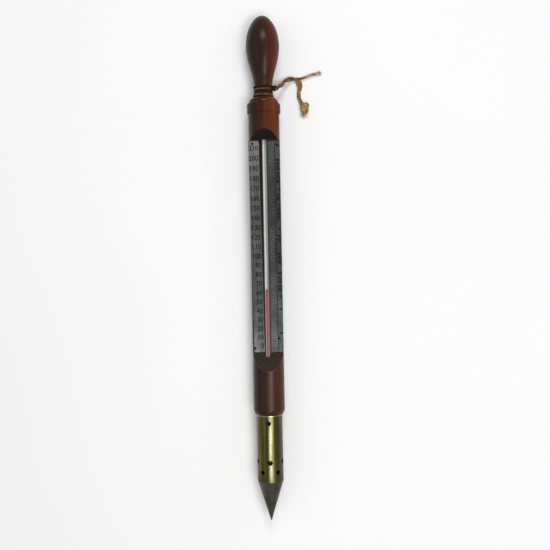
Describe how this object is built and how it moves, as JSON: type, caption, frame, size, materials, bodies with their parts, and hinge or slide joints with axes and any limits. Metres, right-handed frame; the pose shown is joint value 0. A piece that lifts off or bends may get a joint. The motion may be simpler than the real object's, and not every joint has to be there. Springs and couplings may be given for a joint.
{
  "type": "wood-cased probe thermometer",
  "caption": "Spirit thermometer in a turned wooden case with an engraved scale, a perforated bulb guard, a cone point and a hanging twine.",
  "frame": {"origin": "centre of the footprint of the case, without its loose twine, on the surface it lies on", "axes": "+Y along the instrument from the cone point to the handle, +Z out of the scale's face, +X to the right of a reader who holds the handle up"},
  "size_m": [0.0554, 0.38, 0.0252],
  "materials": {
    "stock_wood": "satin",
    "handle_wood": "satin",
    "scale_metal": "matte",
    "pin_metal": "matte",
    "glass": "gloss",
    "enamel": "gloss",
    "spirit": "gloss",
    "cork": "matte",
    "guard_brass": "satin",
    "point_brass": "satin",
    "twine": "matte"
  },
  "bodies": {
    "case": {"stock": "stock_wood", "handle": "handle_wood", "scale_plate_left": "scale_metal", "scale_plate_right": "scale_metal", "plate_pins": "pin_metal", "glass_tube": "glass", "enamel_backing": "enamel", "bulb_spirit": "spirit", "spirit_thread": "spirit", "stem_packing": "cork", "guard_tube": "guard_brass", "guard_point": "point_brass", "guard_pins": "pin_metal", "twine_wraps": "twine", "twine_pair": "twine", "twine_upper_tail": "twine", "twine_lower_tail": "twine", "twine_knot": "twine"},
    "column_top": {"spirit_meniscus": "spirit"}
  },
  "joints": [
    {"name": "reading", "type": "slide", "parent": "case", "child": "column_top", "axis": [0, 1, 0], "range_m": [-0.0422, 0.1071], "deforming": ["spirit_thread"]}
  ]
}
